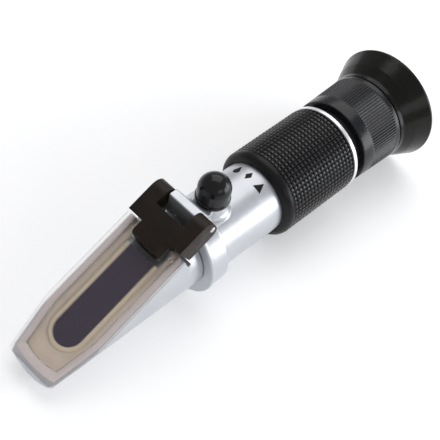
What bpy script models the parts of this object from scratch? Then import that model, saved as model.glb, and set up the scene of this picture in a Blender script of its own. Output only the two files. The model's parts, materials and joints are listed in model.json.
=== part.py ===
"""Hand-held brewing refractometer, built as an assembly of separate solids.

+X runs from the prism end to the eyepiece, +Z is up, and the origin is the centre of the
bounding box's base. Lengths below are in millimetres; MM turns them into Blender metres.
"""

import math

import bmesh
import bpy
from mathutils import Matrix, Vector

MM = 0.001
GAP = 0.3  # what touching pieces keep between them
RUNNING = 0.06  # radial clearance of a shaft in its hole
CUT = 1.0  # how far a cutter runs past the face that it cuts
WELD = 0.002  # points nearer than this are one point

AXIS_Z = 20.2  # height of the optical axis, which is the eyecup's rim radius

# Measuring face: a plane that rises towards the eyepiece
SLOPE = math.radians(27.0)
PLATE_REAR_X = -34.4
PLATE_REAR_H = 17.3  # height of the plate's top above the optical axis, at its rear end
PLATE_LENGTH = 51.4
PLATE_BOW = 1.0  # how far the middle of the tip stands out beyond its corners
PLATE_END_U = 1.2  # the plate's rear edge, beside the hinge's tongue
PLATE_HALF = 12.2
PLATE_TIP_HALF = 9.15
PLATE_TAPER_U = -33.5  # the sides are parallel behind this and taper in front of it
PLATE_CORNER = 1.0
PLATE_THICKNESS = 2.4
PLATE_BAND = 3.4  # width of the thin band along the sides of the plate's thicker middle
PLATE_TIP_BAND = 4.6
PLATE_REAR_BAND = 2.3
PLATE_BAND_THICKNESS = 1.4
SEAT_DEPTH = PLATE_THICKNESS + GAP  # from the plate's top down to the prism's face
TIP_X = PLATE_REAR_X - (PLATE_LENGTH + PLATE_BOW) * math.cos(SLOPE)
RIM_X = -TIP_X  # the eyecup's rim, so that the origin is halfway along

# Prism box, the aluminium nose
NOSE_RADIUS = 11.0
NOSE_HALF = 11.3
NOSE_INSET = 0.5  # how far the nose's tapered sides stay inside the plate's
NOSE_END_U = 1.1  # rear end of the plate's seat
NECK_ROOM = 0.8  # between the neck and the lug above it
NOSE_FRONT_X = TIP_X + 1.3
NECK_FRONT_X = -29.0  # behind this the nose is a full round
NECK_N = -7.2
SPIGOT_RADIUS = 10.0
SPIGOT_END_X = -13.0
LIGHT_RADIUS = 7.0
PRISM_HALF = 5.1
PRISM_FRONT_U = -41.0
PRISM_REAR_U = -5.4
PRISM_BOTTOM_H = -6.2
PRISM_REAR_X = -37.0
GASKET_WIDTH = 1.5
GASKET_DEPTH = 0.9

# Hinge
BLOCK_HALF = 10.8
BLOCK_TOP = 3.7  # above the plate's top
BLOCK_BOTTOM = -5.4
EAR_FRONT_TOP_U = 1.4
EAR_FRONT_LOW_U = 2.7
EAR_INNER = 5.7
NOTCH_FRONT_U = 7.9
EAR_REAR_U = 15.0
TONGUE_HALF = 5.2
TONGUE_FRONT_U = -3.9
TONGUE_REAR_U = 5.0
TONGUE_CORNER = 2.0
TONGUE_SLANT = 0.8  # how far the tongue's front face leans back towards its top
TONGUE_STEP = 0.05  # how far the tongue's faces lie inside the bridge's
PIN_U = 13.6
PIN_N = -1.9
PIN_RADIUS = 1.0
EAR_TOP_ROUND = 4.2
EAR_LOW_ROUND = 2.8
LUG_HALF = 5.35

# Head casting
COLLAR_FRONT_X = -21.6
COLLAR_REAR_X = -13.9
COLLAR_RADIUS = 14.7
LIP_RADIUS = 15.1  # of the lip round the collar's front edge
LIP_END_X = -20.4
TUBE_RADIUS = 12.4
HEAD_BORE = 10.4
HEAD_END_X = 17.0
DECK_H = 16.8
LUG_TOP_H = 25.2
LUG_FRONT_X = -24.3
LUG_REAR_X = -21.3
DECK_FRONT_X = -15.5
RIB_END_X = -9.2  # inside the cap's boss

# Small screws
NOSE_SCREW_X = -17.6
NOSE_SCREW_RADIUS = 0.85
NOSE_SCREW_LEFT = math.radians(3.75)
NOSE_SCREW_UNDER = math.radians(-86.25)
LOCK_Y = 2.6
LOCK_DROP = 3.4  # below the hinge pin
LOCK_RADIUS = 0.6
STRIP_SCREW_X = 5.0
STRIP_SCREW_RADIUS = 0.75

# Calibration
CAP_X = -9.9
CAP_RADIUS = 5.35
CAP_LIP_RADIUS = 5.6
CAP_HEIGHT = 9.6
SCREW_RADIUS = 2.0
BUSH_RADIUS = 3.2
BUSH_RISE = 1.2  # above the deck
SCREW_RISE = 2.6
CELL_RADIUS = 8.6
CELL_FRONT_X = -12.4
CELL_REAR_X = -7.4
OBJECTIVE_X = -9.6
OBJECTIVE_RADIUS = 7.3

# Grip, rear body and eyepiece
TUBE_FRONT_X = 12.5
TUBE_INNER = 8.9
RETICLE_STEP_X = 37.0
RETICLE_RADIUS = 10.3
RETICLE_APERTURE = 8.4
GRIP_FRONT_X = 12.3
GRIP_SHOULDER_X = 15.0  # where the sleeve reaches its full radius
TRIM_FRONT_X = 45.3
TRIM_REAR_X = 46.7
GRIP_RADIUS = 15.3
GUIDE_RADIUS = 12.6
GUIDE_BORE = 10.6
GUIDE_END_X = 60.8
SEAL_X = 59.4
BARREL_RADIUS = 10.4
KEY_X = 50.4
KEY_TOP = 11.6
KEY_LENGTH = 2.8
KEY_HALF = 1.0
EYE_LENS_RADIUS = 9.0
FIELD_LENS_X = 55.0
REAR_LENS_X = 62.4
FOCUS_FRONT_X = 50.5
CUP_FRONT_X = 69.3
FOCUS_RADIUS = 15.1
FOCUS_REAR_RADIUS = 15.7
CUP_NECK_RADIUS = 15.6

OUTER_SIDES = 48
INNER_SIDES = 32
SMALL_SIDES = 20
SHARP = math.radians(35.0)

MATERIALS = {
    "satin_aluminium": ((0.78, 0.79, 0.81), 0.32, 1.0),
    "bright_ring": ((0.86, 0.86, 0.88), 0.18, 1.0),
    "black_anodised": ((0.03, 0.03, 0.035), 0.35, 0.6),
    "black_rubber": ((0.02, 0.02, 0.022), 0.55, 0.0),
    "gloss_rubber": ((0.015, 0.016, 0.015), 0.2, 0.0),
    "black_plastic": ((0.025, 0.02, 0.018), 0.4, 0.0),
    "slate_plastic": ((0.05, 0.052, 0.06), 0.4, 0.0),
    "clear_acrylic": ((0.82, 0.79, 0.76), 0.08, 0.0),
    "prism_glass": ((0.10, 0.07, 0.13), 0.05, 0.0),
    "lens_glass": ((0.85, 0.9, 0.92), 0.02, 0.0),
    "cream_seal": ((0.62, 0.55, 0.42), 0.6, 0.0),
    "steel": ((0.6, 0.6, 0.6), 0.25, 1.0),
    "brass": ((0.72, 0.55, 0.25), 0.3, 1.0),
}


def clear_scene():
    for obj in list(bpy.data.objects):
        bpy.data.objects.remove(obj, do_unlink=True)


def material(name):
    found = bpy.data.materials.get(name)
    if found:
        return found
    colour, roughness, metallic = MATERIALS[name]
    made = bpy.data.materials.new(name)
    made.use_nodes = True
    shader = made.node_tree.nodes["Principled BSDF"]
    shader.inputs["Base Color"].default_value = (*colour, 1.0)
    shader.inputs["Roughness"].default_value = roughness
    shader.inputs["Metallic"].default_value = metallic
    return made


def object_of(name, mesh_maker, material_name=None):
    """A mesh object filled by mesh_maker(bmesh), which works in millimetres."""
    mesh = bpy.data.meshes.new(name)
    work = bmesh.new()
    mesh_maker(work)
    bmesh.ops.recalc_face_normals(work, faces=work.faces)
    work.transform(Matrix.Scale(MM, 4))
    work.to_mesh(mesh)
    work.free()
    obj = bpy.data.objects.new(name, mesh)
    bpy.context.scene.collection.objects.link(obj)
    if material_name:
        mesh.materials.append(material(material_name))
    return obj


def place(obj, origin):
    """Moves the object's origin to a point in millimetres and leaves its mesh where it is."""
    offset = Vector(origin) * MM
    obj.data.transform(Matrix.Translation(-offset))
    obj.location = offset
    return obj


def smooth(obj):
    obj.data.shade_smooth()
    obj.data.set_sharp_from_angle(angle=SHARP)
    return obj


def axis_frame(axis, centre):
    """Matrix that takes a shape turned about +X through 0 to this axis and centre."""
    turn = {"x": Matrix.Identity(4), "z": Matrix.Rotation(-math.pi / 2, 4, "Y"),
            "y": Matrix.Rotation(math.pi / 2, 4, "Z")}[axis]
    return Matrix.Translation(Vector(centre)) @ turn


def turned(name, profile, material_name=None, sides=INNER_SIDES, axis="x", centre=(0, 0, AXIS_Z)):
    """A solid of revolution. profile is a closed loop of (along, radius) points.

    Points at radius 0 become poles, so a loop that starts and ends there is a solid piece.
    """

    def fill(work):
        rings = []
        for along, radius in profile:
            if radius == 0:
                rings.append([work.verts.new((along, 0, 0))])
                continue
            rings.append([
                work.verts.new((along, radius * math.cos(angle), radius * math.sin(angle)))
                for angle in (math.tau * step / sides for step in range(sides))
            ])
        for first, second in zip(rings, rings[1:] + rings[:1]):
            if len(first) == len(second) == 1:
                continue
            for step in range(sides):
                after = (step + 1) % sides
                corners = [first[step % len(first)], first[after % len(first)],
                           second[after % len(second)], second[step % len(second)]]
                work.faces.new(list(dict.fromkeys(corners)))
        work.transform(axis_frame(axis, centre))

    return smooth(object_of(name, fill, material_name))


def ring(name, start, end, outer, inner, material_name=None, sides=INNER_SIDES, chamfer=0.0, **kwargs):
    """A plain tube, with its outer edges chamfered."""
    profile = [(start, inner), (start, outer - chamfer), (start + chamfer, outer),
               (end - chamfer, outer), (end, outer - chamfer), (end, inner)]
    profile = list(dict.fromkeys(profile))
    return turned(name, profile, material_name, sides, **kwargs)


def rod(name, start, end, radius, material_name=None, sides=SMALL_SIDES, chamfer=0.0, **kwargs):
    profile = [(start, 0), (start, radius - chamfer), (start + chamfer, radius),
               (end - chamfer, radius), (end, radius - chamfer), (end, 0)]
    return turned(name, list(dict.fromkeys(profile)), material_name, sides, **kwargs)


def extruded(name, outline, low, high, matrix, material_name=None):
    """An outline of (first, second) points, extruded from low to high and placed by a matrix.

    The matrix takes first, second and the height to world x, y and z in millimetres.
    """

    def fill(work):
        near = [work.verts.new((first, second, low)) for first, second in outline]
        far = [work.verts.new((first, second, high)) for first, second in outline]
        work.faces.new(near)
        work.faces.new(far)
        for step in range(len(outline)):
            after = (step + 1) % len(outline)
            work.faces.new([near[step], near[after], far[after], far[step]])
        work.transform(matrix)

    return object_of(name, fill, material_name)


def prism_of(name, outline, low, high, material_name=None):
    """An outline of (x, z) points extruded from y = low to y = high."""
    upright = Matrix(((1, 0, 0, 0), (0, 0, 1, 0), (0, 1, 0, 0), (0, 0, 0, 1)))
    return extruded(name, outline, low, high, upright, material_name)


def flat_solid(name, outline, low, high, material_name=None):
    """An outline of (x, y) points extruded from z = low to z = high."""
    return extruded(name, outline, low, high, Matrix.Identity(4), material_name)


def combined(obj, others, operation):
    """Applies Booleans with the other objects in turn and removes them."""
    for other in others:
        modifier = obj.modifiers.new("Boolean", "BOOLEAN")
        modifier.object = other
        modifier.operation = operation
        modifier.solver = "EXACT"
    graph = bpy.context.evaluated_depsgraph_get()
    before = obj.data
    result = bpy.data.meshes.new_from_object(obj.evaluated_get(graph))
    work = bmesh.new()
    work.from_mesh(result)
    bmesh.ops.remove_doubles(work, verts=work.verts, dist=WELD * MM)
    work.to_mesh(result)
    work.free()
    obj.modifiers.clear()
    obj.data = result
    bpy.data.meshes.remove(before)
    for other in others:
        bpy.data.objects.remove(other, do_unlink=True)
    return smooth(obj)


def cut(obj, *cutters):
    return combined(obj, cutters, "DIFFERENCE")


def joined(obj, *others):
    return combined(obj, others, "UNION")


def arc(centre, radius, start, end, steps):
    """Points on an arc, from start to end in degrees, both included."""
    return [
        (centre[0] + radius * math.cos(math.radians(start + (end - start) * step / steps)),
         centre[1] + radius * math.sin(math.radians(start + (end - start) * step / steps)))
        for step in range(steps + 1)
    ]


# Points on the measuring plane. u runs along the slope from the plate's rear end towards the
# hinge, and n is the height above the plate's top.
PLANE_ORIGIN = Vector((PLATE_REAR_X, 0, AXIS_Z + PLATE_REAR_H))
PLANE = Matrix.Translation(PLANE_ORIGIN) @ Matrix.Rotation(-SLOPE, 4, "Y")


def on_plane(u, n):
    """World (x, z) of a point given along and above the measuring plane."""
    point = PLANE @ Vector((u, 0, n))
    return point.x, point.z


def plane_solid(name, outline, low, high, material_name=None):
    """An outline of (u, y) points, extruded between two heights above the plate's top."""
    return extruded(name, outline, low, high, PLANE, material_name)


def plate_half(u):
    """Half the plate's width: parallel sides, then a straight taper towards the tip."""
    taper = max(0.0, (PLATE_TAPER_U - u) / (PLATE_TAPER_U + PLATE_LENGTH))
    return PLATE_HALF - (PLATE_HALF - PLATE_TIP_HALF) * taper


def plate_outline(inset, end=PLATE_END_U):
    """Outline of the plate in (u, y): a slightly bowed tip, sides that widen, rounded rear corners."""
    tip = -PLATE_LENGTH + inset * PLATE_TIP_BAND / PLATE_BAND
    side = [(u, plate_half(u) - inset) for u in (tip, PLATE_TAPER_U)]
    side += arc((end - inset - PLATE_CORNER, PLATE_HALF - inset - PLATE_CORNER), PLATE_CORNER, 90, 0, 3)
    half = side[0][1]
    across = [half * (1 - 2 * step / 6) for step in range(1, 6)]
    edge = [(tip - PLATE_BOW * (1 - (y / half) ** 2), y) for y in across]
    return [(u, -y) for u, y in side[::-1]] + [(u, -y) for u, y in edge] + side


def main_prism():
    """Glass wedge with a round front end, its measuring face just under the plate."""
    front = PRISM_FRONT_U + PRISM_HALF
    outline = arc((front, 0), PRISM_HALF, 90, 270, 12) + [(0, -PRISM_HALF), (0, PRISM_HALF)]
    wedge = plane_solid("main_prism", outline, -45, -SEAT_DEPTH, "prism_glass")
    floor = AXIS_Z + PRISM_BOTTOM_H
    below = prism_of("below", [(-120, -60), (0, -60), (0, floor), (-120, floor)], -20, 20)
    behind = prism_of("behind", [(PRISM_REAR_X, -60), (10, -60), (10, 90), (PRISM_REAR_X, 90)], -20, 20)
    notch = plane_solid("notch", [(PRISM_REAR_U, -20), (20, -20), (20, 20), (PRISM_REAR_U, 20)], -7.0, 20)
    return cut(wedge, below, behind, notch)


def stadium(front, rear, half):
    return arc((front + half, 0), half, 90, 270, 12) + [(rear, -half), (rear, half)]


def prism_gasket():
    """Cement frame that holds the prism in its pocket, level with the measuring face."""
    outer = stadium(PRISM_FRONT_U - GASKET_WIDTH, PRISM_REAR_U, PRISM_HALF + GASKET_WIDTH)
    inner = stadium(PRISM_FRONT_U - GAP, PRISM_REAR_U + CUT, PRISM_HALF + GAP)
    top = -SEAT_DEPTH - 0.1
    frame = plane_solid("prism_gasket", outer, top - GASKET_DEPTH, top, "cream_seal")
    return cut(frame, plane_solid("hole", inner, top - GASKET_DEPTH - CUT, top + CUT))


def prism_seat():
    """Nose: half-round below, flat sides above, cut off along the slope; round behind the prism."""
    half = NOSE_HALF
    section = [(y * half / NOSE_RADIUS, z) for y, z in arc((0, AXIS_Z), NOSE_RADIUS, 180, 360, 24)]
    section += [(half, AXIS_Z + 30), (-half, AXIS_Z + 30)]
    along_x = Matrix(((0, 0, 1, 0), (1, 0, 0, 0), (0, 1, 0, 0), (0, 0, 0, 1)))
    seat = extruded("prism_seat", section, NOSE_FRONT_X, NECK_FRONT_X, along_x, "satin_aluminium")
    rim = -PLATE_BAND_THICKNESS - GAP
    inner = plate_outline(PLATE_BAND - GAP, 20)
    far_u = -75
    taper = [(far_u, plate_half(far_u) - NOSE_INSET), (PLATE_TAPER_U, PLATE_HALF - NOSE_INSET),
             (60, PLATE_HALF - NOSE_INSET)]
    sides = plane_solid("sides", taper + [(u, -y) for u, y in taper[::-1]], -60, 30)
    above = plane_solid("above", [(-90, -20), (60, -20), (60, 20), (-90, 20)], rim, 80)
    recess = plane_solid("recess", inner, -SEAT_DEPTH, 20)
    behind = plane_solid("behind", [(NOSE_END_U, -20), (30, -20), (30, 20), (NOSE_END_U, 20)],
                         NECK_N, 60)
    tongue_room = plane_solid(
        "tongue_room", [(TONGUE_FRONT_U - 0.5, -TONGUE_HALF - 0.5), (12, -TONGUE_HALF - 0.5),
                        (12, TONGUE_HALF + 0.5), (TONGUE_FRONT_U - 0.5, TONGUE_HALF + 0.5)],
        BLOCK_BOTTOM - 0.6, 20)
    gasket_room = plane_solid(
        "gasket_room", stadium(PRISM_FRONT_U - GASKET_WIDTH - GAP, 0, PRISM_HALF + GASKET_WIDTH + GAP),
        -SEAT_DEPTH - 0.1 - GASKET_DEPTH - GAP, 20)
    pocket = plane_solid("pocket", stadium(PRISM_FRONT_U - GAP, NOSE_END_U + CUT, PRISM_HALF + GAP), -45, 20)
    floor = AXIS_Z + PRISM_BOTTOM_H - GAP
    under = prism_of("under", [(-120, -60), (60, -60), (60, floor), (-120, floor)], -30, 30)
    pocket = cut(pocket, under)
    light = rod("light", PRISM_REAR_X - 2, 10, LIGHT_RADIUS, sides=INNER_SIDES)
    neck = rod("neck", NECK_FRONT_X - 3, COLLAR_FRONT_X - GAP, half - 0.05, sides=OUTER_SIDES)
    seat = combined(seat, [sides], "INTERSECT")
    seat = joined(cut(seat, above, recess, behind), neck)
    seat = cut(seat, tongue_room, gasket_room, pocket)
    spigot = rod("spigot", COLLAR_FRONT_X - 3, SPIGOT_END_X, SPIGOT_RADIUS, sides=INNER_SIDES, chamfer=0.5)
    seat = joined(seat, spigot)
    return cut(seat, light)


def turned_round(obj, angle):
    """Turns a mesh by an angle about the tube's axis."""
    to_axis = Matrix.Translation((0, 0, AXIS_Z * MM))
    obj.data.transform(to_axis @ Matrix.Rotation(angle, 4, "X") @ to_axis.inverted())
    return obj


def nose_screw(name, angle):
    """Slotted grub screw that locks the prism box's spigot in the collar."""
    screw = rod(name, SPIGOT_RADIUS + GAP, COLLAR_RADIUS - 0.6, NOSE_SCREW_RADIUS, "steel", sides=12,
                axis="y", centre=(NOSE_SCREW_X, 0, AXIS_Z), chamfer=0.15)
    slot = [(NOSE_SCREW_X - 2, AXIS_Z - 0.15), (NOSE_SCREW_X + 2, AXIS_Z - 0.15),
            (NOSE_SCREW_X + 2, AXIS_Z + 0.15), (NOSE_SCREW_X - 2, AXIS_Z + 0.15)]
    return turned_round(cut(screw, prism_of("slot", slot, COLLAR_RADIUS - 1.2, 20)), angle)


def pin_centre():
    x, z = on_plane(PIN_U, PIN_N)
    return x, 0, z


def head_casting():
    """Tube with a front collar, a raised deck for the calibration screw and the hinge's lug."""
    body = turned(
        "head_casting",
        [(COLLAR_FRONT_X, HEAD_BORE), (COLLAR_FRONT_X, LIP_RADIUS - 0.5),
         (COLLAR_FRONT_X + 0.4, LIP_RADIUS), (LIP_END_X - 0.3, LIP_RADIUS), (LIP_END_X, COLLAR_RADIUS),
         (COLLAR_REAR_X - 0.6, COLLAR_RADIUS),
         (COLLAR_REAR_X, COLLAR_RADIUS - 0.8), (COLLAR_REAR_X + 0.3, TUBE_RADIUS),
         (HEAD_END_X, TUBE_RADIUS), (HEAD_END_X, HEAD_BORE)],
        "satin_aluminium", OUTER_SIDES)
    top = AXIS_Z + LUG_TOP_H
    deck = AXIS_Z + DECK_H
    base = AXIS_Z + HEAD_BORE + 0.6
    over_neck = AXIS_Z + NOSE_HALF + NECK_ROOM
    profile = (
        [(COLLAR_FRONT_X + 0.8, base), (COLLAR_FRONT_X + 0.8, over_neck), (LUG_FRONT_X - 0.1, over_neck),
         (LUG_FRONT_X, over_neck + 3.0), (LUG_FRONT_X, top - 0.4),
         (LUG_FRONT_X + 0.4, top), (LUG_REAR_X, top), (DECK_FRONT_X, deck), (RIB_END_X, deck),
         (RIB_END_X, base)]
    )
    rib = prism_of("rib", profile, -LUG_HALF, LUG_HALF)
    narrow = 3.6
    plan = [(-60, -LUG_HALF - CUT), (DECK_FRONT_X - 2.0, -LUG_HALF - CUT), (DECK_FRONT_X - 2.0, -LUG_HALF),
            (DECK_FRONT_X + 2.0, -narrow), (20, -narrow)]
    outline = plan + [(x, -y) for x, y in plan[::-1]]
    taper = flat_solid("taper", outline, 0, 80)
    rib = combined(rib, [taper], "INTERSECT")
    boss = rod("boss", HEAD_BORE + 0.9, DECK_H + 0.2, CAP_RADIUS - 0.5, sides=INNER_SIDES, axis="z",
               centre=(CAP_X, 0, AXIS_Z))
    body = joined(body, rib, boss)
    pin_hole = rod("pin_hole", -20, 20, PIN_RADIUS + RUNNING, sides=24, axis="y", centre=pin_centre())
    bush_hole = rod("bush_hole", 5, DECK_H + 4, BUSH_RADIUS + GAP, sides=SMALL_SIDES, axis="z",
                    centre=(CAP_X, 0, AXIS_Z))
    nose_holes = [turned_round(rod("nose_hole", 7.5, 20, NOSE_SCREW_RADIUS + GAP, sides=12, axis="y",
                                   centre=(NOSE_SCREW_X, 0, AXIS_Z)), angle)
                  for angle in (NOSE_SCREW_LEFT, NOSE_SCREW_UNDER)]
    lock_hole = rod("lock_hole", LUG_FRONT_X - 5, LUG_FRONT_X + 2.5, LOCK_RADIUS + GAP, sides=12,
                    centre=(0, LOCK_Y, pin_centre()[2] - LOCK_DROP))
    strip_hole = rod("strip_hole", -20, -8, STRIP_SCREW_RADIUS + 0.2, sides=12, axis="z",
                     centre=(STRIP_SCREW_X, 0, AXIS_Z))
    return cut(body, pin_hole, bush_hole, lock_hole, strip_hole, *nose_holes)


def lug_lock_screw():
    """Grub screw in the lug's front face."""
    z = pin_centre()[2] - LOCK_DROP
    return rod("lug_lock_screw", LUG_FRONT_X + 0.4, LUG_FRONT_X + 2.1, LOCK_RADIUS, "steel", sides=12,
               centre=(0, LOCK_Y, z))


def daylight_plate():
    """Clear plate: a thin band all round a thicker middle, with a notch for the hinge's tongue."""
    plate = plane_solid("daylight_plate", plate_outline(0.0), -PLATE_BAND_THICKNESS, 0, "clear_acrylic")
    middle = plane_solid("middle", plate_outline(PLATE_BAND, PLATE_END_U - PLATE_REAR_BAND),
                         -PLATE_THICKNESS, -PLATE_BAND_THICKNESS + 0.5)
    plate = joined(plate, middle)
    room = TONGUE_HALF + GAP
    notch = plane_solid("notch", [(TONGUE_FRONT_U - GAP, -room), (20, -room), (20, room),
                                  (TONGUE_FRONT_U - GAP, room)], -20, 20)
    return place(cut(plate, notch), pin_centre())


def tongue():
    """Front part of the hinge, which grips the plate's rear edge."""
    inner = TONGUE_HALF - TONGUE_CORNER
    half = arc((TONGUE_FRONT_U + TONGUE_CORNER, inner), TONGUE_CORNER, 180, 90, 5)
    half += [(TONGUE_REAR_U, TONGUE_HALF)]
    low, high = BLOCK_BOTTOM + TONGUE_STEP, BLOCK_TOP - TONGUE_STEP
    solid = plane_solid("tongue", half + [(u, -y) for u, y in half[::-1]], low, high)
    wedge = [(TONGUE_FRONT_U - CUT, low + 2.0), (TONGUE_FRONT_U - 0.001, low + 2.0),
             (TONGUE_FRONT_U + TONGUE_SLANT, high + 0.2), (TONGUE_FRONT_U - CUT, high + 0.2)]
    return cut(solid, prism_of("slant", [on_plane(u, n) for u, n in wedge], -20, 20))


def hinge_block():
    """Black hinge of H shape: a tongue that grips the plate, a bridge and two ears on the pin."""
    half = [(EAR_FRONT_TOP_U - CUT, BLOCK_HALF), (EAR_REAR_U + CUT, BLOCK_HALF),
            (EAR_REAR_U + CUT, EAR_INNER), (NOTCH_FRONT_U, EAR_INNER)]
    plan = half + [(u, -y) for u, y in half[::-1]]
    block = plane_solid("hinge_block", plan, BLOCK_BOTTOM - CUT, BLOCK_TOP + CUT, "black_plastic")
    profile = (
        [(EAR_FRONT_LOW_U, BLOCK_BOTTOM)]
        + arc((EAR_REAR_U - EAR_LOW_ROUND, BLOCK_BOTTOM + EAR_LOW_ROUND), EAR_LOW_ROUND, -90, 0, 5)
        + arc((EAR_REAR_U - EAR_TOP_ROUND, BLOCK_TOP - EAR_TOP_ROUND), EAR_TOP_ROUND, 0, 90, 6)
        + [(EAR_FRONT_TOP_U, BLOCK_TOP)]
    )
    side = prism_of("side", [on_plane(u, n) for u, n in profile], -20, 20)
    block = joined(combined(block, [side], "INTERSECT"), tongue())
    hole = rod("hole", -20, 20, PIN_RADIUS + RUNNING, sides=24, axis="y", centre=pin_centre())
    return place(cut(block, hole), pin_centre())


def hinge_pin():
    """Steel pin through both ears and the head's lug."""
    pin = rod("hinge_pin", -BLOCK_HALF - 0.1, BLOCK_HALF + 0.1, PIN_RADIUS, "steel", sides=24, axis="y",
              centre=pin_centre(), chamfer=0.2)
    return place(pin, pin_centre())


def calibration_cap():
    """Soft dome over the calibration screw, with a short skirt and a hollow inside."""
    straight = CAP_HEIGHT - CAP_RADIUS
    base = DECK_H + 0.2 + GAP
    outer = [(base, CAP_LIP_RADIUS), (base + 0.9, CAP_LIP_RADIUS), (base + 1.2, CAP_RADIUS),
             (base + straight, CAP_RADIUS)]
    dome = [(base + straight + height, radius) for radius, height in arc((0, 0), CAP_RADIUS, 20, 75, 3)]
    top = [(base + CAP_HEIGHT, 0)]
    inside = [(base + 5.4, 0), (base + 5.4, 3.4), (base, 3.9)]
    cap = turned("calibration_cap", outer + dome + top + inside, "gloss_rubber", INNER_SIDES, "z",
                 (CAP_X, 0, AXIS_Z))
    return place(cap, (CAP_X, 0, AXIS_Z + base))


def calibration_bush():
    """Brass bush in the deck that carries the screw's thread."""
    return turned("calibration_bush",
                  [(11.4, SCREW_RADIUS + RUNNING), (11.4, BUSH_RADIUS), (DECK_H + BUSH_RISE, BUSH_RADIUS),
                   (DECK_H + BUSH_RISE, SCREW_RADIUS + RUNNING)],
                  "brass", 24, "z", (CAP_X, 0, AXIS_Z))


def calibration_screw():
    """Slotted adjusting screw whose tip presses on the lens cell."""
    top = DECK_H + SCREW_RISE
    screw = rod("calibration_screw", CELL_RADIUS + 0.4, top, SCREW_RADIUS, "steel", 24, axis="z",
                centre=(CAP_X, 0, AXIS_Z), chamfer=0.3)
    z = AXIS_Z + top
    slot = prism_of("slot", [(CAP_X - 0.35, z - 1.0), (CAP_X + 0.35, z - 1.0), (CAP_X + 0.35, z + 2),
                             (CAP_X - 0.35, z + 2)], -4, 4)
    return place(cut(screw, slot), (CAP_X, 0, AXIS_Z + DECK_H))


def lens(name, x, radius, thickness, bulge, material_name="lens_glass", sides=INNER_SIDES):
    """Biconvex lens: each face an arc that rises by bulge at the middle."""

    def face(sign):
        steps = 4
        return [(x + sign * (thickness / 2 + bulge * (1 - (step / steps) ** 2)), radius * step / steps)
                for step in range(steps + 1)]

    return turned(name, face(-1) + face(1)[::-1], material_name, sides)


def objective_cell():
    """Ring that carries the objective lens against an inner shoulder."""
    return turned("objective_cell",
                  [(CELL_FRONT_X, 6.0), (CELL_FRONT_X, CELL_RADIUS), (CELL_REAR_X, CELL_RADIUS),
                   (CELL_REAR_X, OBJECTIVE_RADIUS + GAP), (CELL_FRONT_X + 1.0, OBJECTIVE_RADIUS + GAP),
                   (CELL_FRONT_X + 1.0, 6.0)], "black_anodised")


def bimetal_strip():
    """Two-metal leaf spring under the lens cell, which corrects for temperature."""
    z = AXIS_Z - CELL_RADIUS - 1.25
    rear = STRIP_SCREW_X + 2.4
    outline = [(CELL_FRONT_X, z), (rear, z), (rear, z + 0.5), (CELL_FRONT_X, z + 0.5)]
    strip = prism_of("bimetal_strip", outline, -2.2, 2.2, "brass")
    hole = rod("hole", -20, 0, STRIP_SCREW_RADIUS + 0.2, sides=12, axis="z",
               centre=(STRIP_SCREW_X, 0, AXIS_Z))
    return cut(strip, hole)


def bimetal_screw():
    """Screw that clamps the strip's rear end to the head."""
    return turned("bimetal_screw",
                  [(-TUBE_RADIUS + 0.2, 0), (-TUBE_RADIUS + 0.2, STRIP_SCREW_RADIUS),
                   (-CELL_RADIUS - 0.5, STRIP_SCREW_RADIUS),
                   (-CELL_RADIUS - 0.5, 1.4), (-CELL_RADIUS + 0.4, 1.4), (-CELL_RADIUS + 0.4, 0)],
                  "steel", 16, "z", (STRIP_SCREW_X, 0, AXIS_Z))


def light_baffle():
    """Knife-edged ring that stops stray light between the head and the rear tube."""
    return turned("light_baffle", [(10.4, 5.5), (9.4, 6.2), (9.4, HEAD_BORE - GAP), (11.6, HEAD_BORE - GAP),
                                   (11.6, 6.2)], "black_anodised")


def body_tube():
    """Rear tube: its front end plugs into the head, its outside carries the grip."""
    return turned("body_tube",
                  [(TUBE_FRONT_X, TUBE_INNER), (TUBE_FRONT_X, HEAD_BORE - GAP),
                   (HEAD_END_X + GAP, HEAD_BORE - GAP), (HEAD_END_X + GAP, TUBE_RADIUS),
                   (TRIM_REAR_X, TUBE_RADIUS), (TRIM_REAR_X, RETICLE_RADIUS + GAP),
                   (RETICLE_STEP_X, RETICLE_RADIUS + GAP), (RETICLE_STEP_X, TUBE_INNER)],
                  "black_anodised", OUTER_SIDES)


def grip_sleeve():
    """Rubber sleeve whose front end swells from the tube in a rounded bead."""
    inner = TUBE_RADIUS + GAP
    foot = inner + 0.2
    bead = [(GRIP_SHOULDER_X + (GRIP_SHOULDER_X - GRIP_FRONT_X) * x, foot + (GRIP_RADIUS - foot) * r)
            for x, r in arc((0, 0), 1.0, 180, 90, 5)]
    return turned("grip_sleeve",
                  [(GRIP_FRONT_X, inner)] + bead + [(TRIM_FRONT_X - GAP, GRIP_RADIUS),
                                                    (TRIM_FRONT_X - GAP, inner)],
                  "black_rubber", OUTER_SIDES)


def trim_ring():
    """Bright ring behind the grip."""
    return ring("trim_ring", TRIM_FRONT_X, TRIM_REAR_X, GRIP_RADIUS, TUBE_RADIUS + GAP, "bright_ring",
                OUTER_SIDES, chamfer=0.25)


def reticle():
    """Scale glass between its seat and a screwed ring."""
    seat_x = RETICLE_STEP_X + GAP
    glass_x = seat_x + 1.6
    retainer_x = glass_x + 1.9
    ring("reticle_seat", seat_x, seat_x + 1.3, RETICLE_RADIUS, RETICLE_APERTURE, "black_anodised")
    rod("reticle_glass", glass_x, glass_x + 1.6, RETICLE_RADIUS - 0.1, "lens_glass", INNER_SIDES, chamfer=0.2)
    ring("reticle_retainer", retainer_x, retainer_x + 1.4, RETICLE_RADIUS, RETICLE_APERTURE, "black_anodised")


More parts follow.
